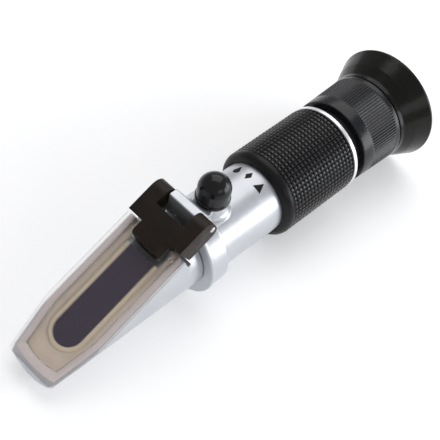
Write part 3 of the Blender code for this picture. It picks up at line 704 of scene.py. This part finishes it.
def prism_nose():
    """Half-round nose with flat sides, cut off along the slope, and the round neck behind it."""
    top = AXIS_Z + 30  # above the slope that cuts it off
    section = [(y * NOSE_HALF / NOSE_RADIUS, z) for y, z in arc((0, AXIS_Z), NOSE_RADIUS, 180, 360, 96)]
    section += [(NOSE_HALF, top), (-NOSE_HALF, top)]
    nose = extruded("prism_nose", section, NOSE_FRONT_X, NECK_FRONT_X, ALONG_X)
    above = slope_box("above", -FAR, FAR, REACH, -PLATE_BAND_THICKNESS - GAP, FAR)
    recess = on_slope("recess", plate_outline(PLATE_BAND - GAP, REACH), -SEAT_DEPTH, REACH)
    behind = slope_box("behind", NOSE_END_U, FAR, REACH, NECK_N, FAR)
    gasket_room = on_slope(
        "gasket_room", stadium(PRISM_FRONT_U - GASKET_WIDTH - GAP, 0, PRISM_HALF + GASKET_WIDTH + GAP),
        -SEAT_DEPTH - GASKET_SINK - GASKET_DEPTH - GAP, REACH)
    pocket = on_slope("pocket", stadium(PRISM_FRONT_U - GAP, NOSE_END_U + CUT, PRISM_HALF + GAP),
                      PRISM_DEEP_N, REACH)
    pocket = cut(pocket, side_box("under", -FAR, FAR, -FAR, AXIS_Z + PRISM_BOTTOM_H - GAP))
    nose = combined(nose, [on_slope("sides", nose_sides(), -FAR, FAR)], "INTERSECT")
    nose = cut(nose, above, recess, behind)
    nose = joined(nose, rod("neck", NECK_FRONT_X - OVERLAP, COLLAR_FRONT_X - GAP, NECK_RADIUS))
    nose = cut(nose, tongue_cutter(TONGUE_ROOM, TONGUE_ROOM_N), gasket_room, pocket)
    nose = joined(nose, rod("spigot", COLLAR_FRONT_X - OVERLAP, SPIGOT_END_X, SPIGOT_RADIUS))
    nose = cut(nose, rod("light", PRISM_REAR_X - 2, SPIGOT_END_X + CUT, LIGHT_RADIUS, MEDIUM_SIDES))
    return finished(edged(nose, 0.18, 2, 35.0), "body", "satin_aluminium", ALUMINIUM, "prism_seat")


def cement_frame():
    """Cement frame that holds the prism in its pocket."""
    top = -SEAT_DEPTH - GASKET_SINK
    outer = stadium(PRISM_FRONT_U - GASKET_WIDTH, PRISM_REAR_U, PRISM_HALF + GASKET_WIDTH)
    inner = stadium(PRISM_FRONT_U - GASKET_FIT, PRISM_REAR_U + CUT, PRISM_HALF + GASKET_FIT)
    cement = on_slope("cement_frame", outer, top - GASKET_DEPTH, top)
    cement = cut(cement, on_slope("hole", inner, top - GASKET_DEPTH - CUT, top + CUT))
    return finished(edged(cement, 0.12, 2, 40.0), "body", "cream_seal", CEMENT, "prism_gasket")


def cement_bed():
    """Thin layer of cement over the seat's floor, seen through the plate round the prism."""
    sunk, thickness, gap, opening_end = 0.02, 0.08, 0.1, 0.2
    outline = plate_outline(PLATE_BAND - 0.25, REACH)
    bed = on_slope("cement_bed", outline, -SEAT_DEPTH - sunk, -SEAT_DEPTH + thickness)
    opening = stadium(PRISM_FRONT_U - GASKET_WIDTH - gap, opening_end, PRISM_HALF + GASKET_WIDTH + gap)
    bed = cut(bed, on_slope("opening", opening, -REACH, REACH),
              slope_box("rear", NOSE_END_U - gap, FAR, FAR, -REACH, REACH), tongue_cutter(TONGUE_ROOM))
    return finished(bed, "body", "cream_seal", BED)


def seat_film():
    """Pale film of cement on the seat's rim, under the plate's thin band."""
    low = -PLATE_BAND_THICKNESS - GAP - 0.02
    thickness, inset = 0.12, 1.3
    film = on_slope("seat_film", plate_outline(inset, NOSE_END_U - 0.2), low, low + thickness)
    inner = on_slope("inner", plate_outline(PLATE_BAND - 0.2, FAR), -REACH, REACH)
    film = cut(film, inner, tongue_cutter(TONGUE_ROOM + 0.1))
    return finished(film, "body", "cream_seal", FILM)


def measuring_prism():
    """Polished wedge with a round front end and fine chamfers."""
    outline = stadium(PRISM_FRONT_U, 0, PRISM_HALF)
    wedge = on_slope("measuring_prism", outline, PRISM_DEEP_N, -SEAT_DEPTH)
    below = side_box("below", -FAR, FAR, -FAR, AXIS_Z + PRISM_BOTTOM_H)
    behind = side_box("behind", PRISM_REAR_X, FAR, -FAR, FAR)
    notch = slope_box("notch", PRISM_REAR_U, REACH, REACH, PRISM_STEP_N, REACH)
    wedge = cut(wedge, below, behind, notch)
    return finished(edged(wedge, 0.12, 2, 40.0), "body", "prism_glass", PRISM, "main_prism")


# Hinge


def tongue():
    """Front part of the hinge, which grips the plate; its faces lie just inside the bridge's."""
    half = arc((TONGUE_FRONT_U + TONGUE_CORNER, TONGUE_HALF - TONGUE_CORNER), TONGUE_CORNER, 180, 90, 12)
    half += [(TONGUE_REAR_U, TONGUE_HALF)]
    low, high = BLOCK_BOTTOM + TONGUE_STEP, BLOCK_TOP - TONGUE_STEP
    solid = on_slope("tongue", mirrored(half), low, high)
    start = low + 2.0
    past = high + 0.2
    wedge = [(TONGUE_FRONT_U - CUT, start), (TONGUE_FRONT_U - 0.001, start),
             (TONGUE_FRONT_U + TONGUE_SLANT, past), (TONGUE_FRONT_U - CUT, past)]
    return cut(solid, upright("slant", slope_points(wedge), -REACH, REACH))


def pin_hole():
    """Cutter for the hinge pin's hole."""
    return rod("pin_hole", -REACH, REACH, PIN_RADIUS + RUNNING, SMALL_SIDES, "y", PIN)


def hinge_bridge():
    """Dark moulded hinge: tongue, bridge and two ears, with soft edges."""
    half = [(EAR_FRONT_TOP_U - CUT, BLOCK_HALF), (EAR_REAR_U + CUT, BLOCK_HALF),
            (EAR_REAR_U + CUT, EAR_INNER), (NOTCH_FRONT_U, EAR_INNER)]
    block = on_slope("hinge_bridge", mirrored(half), BLOCK_BOTTOM - CUT, BLOCK_TOP + CUT)
    profile = (
        [(EAR_FRONT_LOW_U, BLOCK_BOTTOM)]
        + arc((EAR_REAR_U - EAR_LOW_ROUND, BLOCK_BOTTOM + EAR_LOW_ROUND), EAR_LOW_ROUND, -90, 0, 14)
        + arc((EAR_REAR_U - EAR_TOP_ROUND, BLOCK_TOP - EAR_TOP_ROUND), EAR_TOP_ROUND, 0, 90, 16)
        + [(EAR_FRONT_TOP_U, BLOCK_TOP)]
    )
    side = upright("side", slope_points(profile), -REACH, REACH)
    block = joined(combined(block, [side], "INTERSECT"), tongue())
    block = edged(cut(block, pin_hole()), 0.3, 3, 35.0)
    return finished(block, "cover", "black_plastic", HINGE, "hinge_block")


def pin():
    """Steel pin through both ears and the lug."""
    end = BLOCK_HALF + 0.1
    round_end = 0.3
    profile = [(-end, 0), (-end, PIN_RADIUS, round_end), (end, PIN_RADIUS, round_end), (end, 0)]
    made = lathe("pin", profile, SMALL_SIDES, "y", PIN)
    return finished(made, "cover", "steel", STEEL, "hinge_pin")


# Head


def lug_and_deck():
    """Hinge's lug and the deck behind it, which narrows towards the cap."""
    top = AXIS_Z + LUG_TOP_H
    deck = AXIS_Z + DECK_H
    base = AXIS_Z + HEAD_BORE + 0.6
    over_neck = AXIS_Z + NOSE_HALF + NECK_ROOM
    profile = rounded([
        (COLLAR_FRONT_X + 0.8, base), (COLLAR_FRONT_X + 0.8, over_neck), (LUG_FRONT_X - 0.1, over_neck),
        (LUG_FRONT_X, over_neck + 3.0), (LUG_FRONT_X, top, 0.3), (LUG_REAR_X, top, 0.6),
        (DECK_FRONT_X, deck, 1.2), (RIB_END_X, deck), (RIB_END_X, base)])
    rib = upright("rib", profile, -LUG_HALF, LUG_HALF)
    taper = 2.0  # half the length of the taper
    wide = LUG_HALF + CUT
    half = [(-FAR, wide), (DECK_FRONT_X - taper, wide), (DECK_FRONT_X - taper, LUG_HALF),
            (DECK_FRONT_X + taper, DECK_HALF), (REACH, DECK_HALF)]
    return combined(rib, [extruded("taper", mirrored(half), 0, FAR)], "INTERSECT")


def cap_boss():
    """Round boss under the cap, flared where it meets the tube."""
    radius = CAP_RADIUS - 0.5
    foot = TUBE_RADIUS - 0.4
    curl = 1.6  # how quickly the flare falls away
    rises = [math.sin(math.radians(angle)) for angle in range(15, 91, 15)]
    flare = [(foot + BOSS_FLARE * rise, radius + BOSS_FLARE * (1 - rise) ** curl) for rise in rises]
    low = HEAD_BORE + 0.9
    profile = ([(low, 0), (low, radius + BOSS_FLARE), (foot, radius + BOSS_FLARE)] + flare
               + [(DECK_H + 0.2, radius), (DECK_H + 0.2, 0)])
    return lathe("boss", profile, MEDIUM_SIDES, "z", CAP_AXIS)


def nose_screw_hole(angle):
    """Hole through the collar, turned about the tube's axis by an angle in degrees."""
    start = 7.5  # inside the bore
    hole = rod("nose_hole", start, REACH, NOSE_SCREW_RADIUS + GAP, TINY_SIDES, "y", (NOSE_SCREW_X, 0, AXIS_Z))
    to_axis = Matrix.Translation((0, 0, AXIS_Z * MM))
    hole.data.transform(to_axis @ Matrix.Rotation(math.radians(angle), 4, "X") @ to_axis.inverted())
    return hole


def head():
    """Cast and turned head, softened where its raised parts meet the tube."""
    body = lathe("head", [
        (COLLAR_FRONT_X, HEAD_BORE), (COLLAR_FRONT_X, LIP_RADIUS, 0.5), (LIP_END_X, LIP_RADIUS, 0.3),
        (LIP_END_X + 0.2, COLLAR_RADIUS, 0.2), (COLLAR_REAR_X, COLLAR_RADIUS, 0.8),
        (COLLAR_REAR_X + 0.3, TUBE_RADIUS), (HEAD_END_X, TUBE_RADIUS), (HEAD_END_X, HEAD_BORE)])
    body = joined(body, lug_and_deck(), cap_boss())
    strip_hole = STRIP_SCREW_RADIUS + 0.2
    # The bush's and the strip's holes run out of the bore, the lock screw's in from before the lug
    holes = [
        pin_hole(),
        rod("bush_hole", 5, DECK_H + 4, BUSH_RADIUS + GAP, SMALL_SIDES, "z", CAP_AXIS),
        rod("lock_hole", LUG_FRONT_X - 5, LOCK_END_X + 0.4, LOCK_RADIUS + GAP, TINY_SIDES, "x", LOCK_AXIS),
        rod("strip_hole", -REACH, -8, strip_hole, TINY_SIDES, "z", (STRIP_SCREW_X, 0, AXIS_Z)),
    ]
    holes += [nose_screw_hole(angle) for angle in NOSE_SCREW_ANGLES]
    body = softened(cut(body, *holes), 0.2, 6)
    settle_rounds(body)
    return finished(body, "body", "satin_aluminium", ALUMINIUM, "head_casting")


def settle_rounds(obj):
    """Puts the softened head's turned surfaces back on their exact radii.

    A point less than near from its radius goes back to it, one past off belongs to a fillet or
    a raised part and stays, and the ones between move in part.
    """
    near, off = 0.05, 0.25
    for vertex in obj.data.vertices:
        x, y, z = (c / MM for c in vertex.co)
        radius = math.hypot(y, z - AXIS_Z)
        for exact, low, high in ((TUBE_RADIUS, COLLAR_REAR_X + 1.0, HEAD_END_X - 0.5),
                                 (LIP_RADIUS, COLLAR_FRONT_X + 0.5, LIP_END_X - 0.3),
                                 (COLLAR_RADIUS, LIP_END_X + 0.3, COLLAR_REAR_X - 1.0)):
            miss = radius - exact
            if low < x < high and abs(miss) < off:
                share = min(1.0, max(0.0, (abs(miss) - near) / (off - near)))
                scale = (exact + miss * share * share * (3 - 2 * share)) / radius
                vertex.co = (x * MM, y * scale * MM, (AXIS_Z + (z - AXIS_Z) * scale) * MM)


def lock_screw():
    """Grub screw in the lug's front face."""
    front = LUG_FRONT_X + 0.5
    profile = [(front, 0), (front, LOCK_RADIUS, 0.1), (LOCK_END_X, LOCK_RADIUS), (LOCK_END_X, 0)]
    made = lathe("lock_screw", profile, TINY_SIDES, "x", LOCK_AXIS)
    return finished(made, "body", "steel", STEEL, "lug_lock_screw")


def adjuster_cap():
    """Glossy dome with a small rolled lip at its foot and a hollow inside."""
    base = DECK_H + 0.2 + GAP
    foot = [(base, 3.9), (base, CAP_LIP_RADIUS, 0.25), (base + 1.0, CAP_LIP_RADIUS, 0.35),
            (base + 1.4, CAP_RADIUS - 0.1, 0.3)]
    dome = arc((base + CAP_HEIGHT - CAP_RADIUS, 0), CAP_RADIUS, 82, 4, 20)
    hollow = [(base + 5.4, 0), (base + 5.4, 3.4)]
    made = lathe("adjuster_cap", foot + dome + [(base + CAP_HEIGHT, 0)] + hollow, CAP_SIDES, "z", CAP_AXIS,
                 sharp=50.0)
    return finished(made, "cap", "gloss_rubber", CAP, "calibration_cap")


# Grip and eyepiece


def grip_base():
    """Rubber sleeve: a smooth rounded collar, the floor under the studs and a plain rear edge."""
    inner = TUBE_RADIUS + GAP
    rear = TRIM_FRONT_X - GAP
    low = GRIP_RADIUS - STUD_HEIGHT
    foot = inner + 0.2
    bead = [(GRIP_SHOULDER_X + (GRIP_SHOULDER_X - GRIP_FRONT_X) * x, foot + (GRIP_RADIUS - foot) * r)
            for x, r in arc((0, 0), 1.0, 180, 90, 14)]
    textured = [(TEXTURE_FRONT_X - 0.2, GRIP_RADIUS, 0.2), (TEXTURE_FRONT_X, low, 0.1), (rear - 0.4, low)]
    rear_edge = [(rear - 0.2, GRIP_RADIUS - 0.15, 0.15), (rear, GRIP_RADIUS - 0.2, 0.1), (rear, inner)]
    made = lathe("grip", [(GRIP_FRONT_X, inner)] + bead + textured + rear_edge)
    return finished(made, "body", "black_rubber", GRIP, "grip_sleeve")


def grip_studs():
    """Rows of four-sided studs on the sleeve, each a loft of four rings of corners."""
    low = GRIP_RADIUS - STUD_HEIGHT
    pitch = (TRIM_FRONT_X - GAP - 0.45 - TEXTURE_FRONT_X) / STUD_ROWS
    turn = math.tau / STUD_COLUMNS
    levels = ((0.46, -0.12), (0.42, 0.04), (0.25, STUD_HEIGHT - 0.08), (0.18, STUD_HEIGHT))
    corners = ((-1, -1), (1, -1), (1, 1), (-1, 1))

    def add_stud(work, x, angle):
        rings = []
        for share, height in levels:
            ring = []
            for side, across in corners:
                at = angle + across * share * turn
                radius = low + height
                ring.append(work.verts.new((x + side * share * pitch, radius * math.cos(at),
                                            AXIS_Z + radius * math.sin(at))))
            rings.append(ring)
        for first, second in zip(rings, rings[1:]):
            for corner in range(4):
                after = (corner + 1) % 4
                work.faces.new([first[corner], first[after], second[after], second[corner]])
        work.faces.new(rings[-1])
        work.faces.new(rings[0][::-1])

    def fill(work):
        for row in range(STUD_ROWS):
            for column in range(STUD_COLUMNS):
                add_stud(work, TEXTURE_FRONT_X + pitch * (row + 0.5), turn * (column + 0.5))

    studs = edged(mesh_object("grip_studs", fill, 20.0), 0.05, 2, 15.0)
    return finished(studs, "body", "black_rubber", STUDS)


def trim():
    """Bright ring behind the grip."""
    inner = TUBE_RADIUS + GAP
    made = lathe("trim", [(TRIM_FRONT_X, inner), (TRIM_FRONT_X, GRIP_RADIUS, 0.25),
                          (TRIM_REAR_X, GRIP_RADIUS, 0.25), (TRIM_REAR_X, inner)])
    return finished(made, "body", "bright_ring", RING, "trim_ring")


def rear_guide():
    """Fixed tube behind the grip, with a thin flange against the trim ring."""
    start = TRIM_REAR_X + GAP
    end = start + 0.6
    flange = 13.9
    made = lathe("rear_guide", [(start, GUIDE_BORE), (start, flange, 0.1), (end, flange, 0.1),
                                (end, GUIDE_RADIUS), (GUIDE_END_X, GUIDE_RADIUS), (GUIDE_END_X, GUIDE_BORE)])
    return finished(made, "body", "black_anodised", ANODISED, "guide_tube")


def focus():
    """Tapered focus ring with fine ribs between two smooth bands."""
    inner = GUIDE_RADIUS + 0.25
    rear = CUP_FRONT_X - GAP
    edge = 0.6  # length of the rounded front edge

    def outline_radius(x):
        share = (x - FOCUS_FRONT_X) / (rear - FOCUS_FRONT_X)
        return FOCUS_RADIUS + (FOCUS_REAR_RADIUS - FOCUS_RADIUS) * share

    def ripple(x, radius, angle):
        if radius < FOCUS_RADIUS - 0.05 or not RIB_FRONT_X < x < RIB_REAR_X:
            return radius
        run_out = 0.5
        ends = min(1.0, (x - RIB_FRONT_X) / run_out, (RIB_REAR_X - x) / run_out)
        wave = 0.5 + 0.5 * math.cos(RIBS * angle)
        return radius - RIB_DEPTH * ends * (1 - wave**0.6)

    steps = 44
    start, length = RIB_FRONT_X - 1.0, RIB_REAR_X - RIB_FRONT_X + 2.0
    along = [FOCUS_FRONT_X + edge] + [start + length * step / steps for step in range(steps + 1)]
    outside = [(x, outline_radius(x)) for x in along + [rear - 0.3]]
    inside = [(rear, FOCUS_REAR_RADIUS - 0.3), (rear, 14.0), (70.4, 14.0), (70.4, 10.2), (67.2, 10.2),
              (67.2, 13.6), (63.6, 13.6), (63.6, inner)]
    front = [(FOCUS_FRONT_X, inner), (FOCUS_FRONT_X, FOCUS_RADIUS - 0.1, 0.45)]
    made = lathe("focus", front + outside + inside, RIBS * 8, sharp=50.0, ripple=ripple)
    return finished(made, "focus", "slate_plastic", SLATE, "focus_ring")


def cup():
    """Soft flared eyecup with a thin rolled rim."""
    rim = AXIS_Z
    outer = [(CUP_FRONT_X, CUP_NECK_RADIUS, 0.2), (70.9, CUP_NECK_RADIUS + 0.1, 1.6), (74.4, 17.7, 3.0),
             (78.6, 19.45, 3.0), (RIM_X - 0.9, rim, 0.5), (RIM_X, rim - 0.3, 0.25)]
    inside = [(RIM_X, rim - 0.9, 0.3), (78.4, 17.6, 2.5), (74.6, 15.2, 2.5), (72.7, 12.0, 1.0),
              (72.4, 9.2, 0.2), (70.7, 9.2), (70.7, 14.3), (CUP_FRONT_X, 14.3)]
    made = lathe("cup", outer + inside, sharp=50.0)
    return finished(made, "focus", "gloss_rubber", CUP, "eyecup")


def eye_lens():
    """Rear eye lens, seen through the cup."""
    thickness, bulge, steps = 1.0, 1.0, 12
    shares = [step / steps for step in range(steps + 1)]

    def face(sign):
        return [(REAR_LENS_X + sign * (thickness / 2 + bulge * (1 - share**2)), EYE_LENS_RADIUS * share)
                for share in shares]

    made = lathe("eye_lens", face(-1) + face(1)[::-1], MEDIUM_SIDES)
    return finished(made, "eyepiece_carrier", "lens_glass", LENS, "eye_lens_rear")


def eye_lens_ring():
    """Ring that holds the rear eye lens."""
    front, rear, inner = REAR_LENS_X + 2.4, REAR_LENS_X + 3.8, 7.4
    made = lathe("eye_lens_ring", [(front, inner, 0.2), (front, EYE_LENS_RADIUS), (rear, EYE_LENS_RADIUS),
                                   (rear, inner, 0.3)], MEDIUM_SIDES)
    return finished(made, "eyepiece_carrier", "black_anodised", ANODISED, "lens_retainer")


# Printed marks on the tube: plain shapes, no letters


def tube_mark(name, outline, angle):
    """A flat outline of (along, across) points, wrapped on the tube as a thin layer of ink."""
    low, high = TUBE_RADIUS - 0.05, TUBE_RADIUS + 0.03
    strip, shift = 0.25, 0.03  # the strips that let the flat outline bend, clear of its corners

    def fill(work):
        work.faces.new([work.verts.new((along, across, low)) for along, across in outline])
        for step in range(-12, 13):
            whole = list(work.verts) + list(work.edges) + list(work.faces)
            line = (0, step * strip + shift, 0)
            bmesh.ops.bisect_plane(work, geom=whole, plane_co=line, plane_no=(0, 1, 0))
        made = bmesh.ops.extrude_face_region(work, geom=list(work.faces))
        for vertex in made["geom"]:
            if isinstance(vertex, bmesh.types.BMVert):
                vertex.co.z = high
        for vertex in work.verts:
            along, across, radius = vertex.co
            at = math.radians(angle) + across / TUBE_RADIUS
            vertex.co = (MARK_X + along, radius * math.cos(at), AXIS_Z + radius * math.sin(at))

    return finished(mesh_object(name, fill, 40.0), "body", "black_anodised", INK)


def printed_marks():
    """A triangle, a diamond and a drop in a row round the tube."""
    tube_mark("mark_triangle", [(-1.7, -1.7), (1.8, 0.0), (-1.7, 1.7)], 108)
    tube_mark("mark_diamond", [(-1.9, 0.0), (0.0, -1.1), (1.9, 0.0), (0.0, 1.1)], 84)
    tube_mark("mark_drop", [(2.0, 0.0)] + arc((-0.6, 0), 1.2, 60, 300, 24), 62)


# CAD nodes that keep their shape


def dress_frame():
    """Materials for the CAD nodes that stay visible."""
    looks = {
        "black_anodised": ANODISED, "lens_glass": LENS, "steel": STEEL, "brass": BRASS,
        "black_rubber": GRIP, "satin_aluminium": ALUMINIUM,
    }
    slots = {part["node"]: part["material_slot"] for part in frame["record"]["subparts"]}
    for name, obj in frame["nodes"].items():
        if obj.hide_render:
            continue
        obj.data.materials.clear()
        obj.data.materials.append(looks[slots[name]])


# Stage


def floor():
    """Floor that touches the rim and the collar's lip, so that the instrument lies nose up."""
    slope = (AXIS_Z - LIP_RADIUS) / (RIM_X - COLLAR_FRONT_X)
    size, drop = 3000, 0.2

    def fill(work):
        corners = [(-size, -size), (size, -size), (size, size), (-size, size)]
        work.faces.new([work.verts.new((x, y, slope * (RIM_X - x) - drop)) for x, y in corners])

    obj = mesh_object("floor", fill)
    made = Looks("pale_floor", (0.95, 0.95, 0.95), 0.8, Specular_IOR_Level=0.1,
                 Emission_Color=(1.0, 1.0, 1.0, 1.0), Emission_Strength=0.25)
    made.mottle(made.noise(0.004, 2.0), (0.945, 0.945, 0.945), (0.955, 0.955, 0.955))
    obj.data.materials.append(made.material)


def surroundings():
    """Even pale light from all round, shown without a film curve."""
    world = bpy.data.worlds.new("studio")
    world.use_nodes = True
    background = world.node_tree.nodes["Background"]
    background.inputs["Color"].default_value = (0.97, 0.98, 1.0, 1.0)
    background.inputs["Strength"].default_value = 0.45
    bpy.context.scene.world = world
    bpy.context.scene.view_settings.view_transform = "Standard"


def area_light(name, place, size, power, colour=(1.0, 1.0, 1.0)):
    """A rectangular light aimed at the instrument; place and size are in metres."""
    data = bpy.data.lights.new(name, "AREA")
    data.shape = "RECTANGLE"
    data.size, data.size_y = size
    data.energy = power
    data.color = colour
    obj = bpy.data.objects.new(name, data)
    bpy.context.scene.collection.objects.link(obj)
    obj.location = place
    centre = Vector((0.0, 0.0, 0.02))
    obj.rotation_euler = (centre - Vector(place)).to_track_quat("-Z", "Y").to_euler()


def lights():
    """A window, a ceiling light and a weak side light."""
    area_light("window", (0.49, -0.49, 0.16), (0.6, 0.35), 2.9, (0.94, 0.965, 1.0))
    area_light("ceiling", (0.45, 0.30, 0.80), (0.9, 0.9), 4.0)
    area_light("side", (-0.10, -0.80, 0.45), (0.5, 0.3), 0.6, (0.97, 0.98, 1.0))


def camera():
    """Camera above the prism end, looking along the instrument."""
    azimuth = Matrix.Rotation(math.radians(CAMERA_AZIMUTH), 4, "Z")
    elevation = Matrix.Rotation(math.radians(-CAMERA_ELEVATION), 4, "Y")
    roll = Matrix.Rotation(math.radians(CAMERA_ROLL), 4, "Z")
    aim = Matrix.Translation(Vector(CAMERA_AIM) * MM)
    back = Matrix.Translation((CAMERA_DISTANCE * MM, 0, 0))
    data = bpy.data.cameras.new("camera")
    data.sensor_width = 36.0
    data.lens = CAMERA_LENS
    data.clip_start, data.clip_end = 0.01, 20.0
    obj = bpy.data.objects.new("camera", data)
    obj.matrix_world = aim @ azimuth @ elevation @ back @ ALONG_X @ roll
    bpy.context.scene.collection.objects.link(obj)
    bpy.context.scene.camera = obj


cover_plate()
prism_nose()
cement_frame()
cement_bed()
seat_film()
measuring_prism()
hinge_bridge()
pin()
head()
lock_screw()
adjuster_cap()
grip_base()
grip_studs()
trim()
rear_guide()
focus()
cup()
eye_lens()
eye_lens_ring()
printed_marks()
dress_frame()
floor()
surroundings()
lights()
camera()
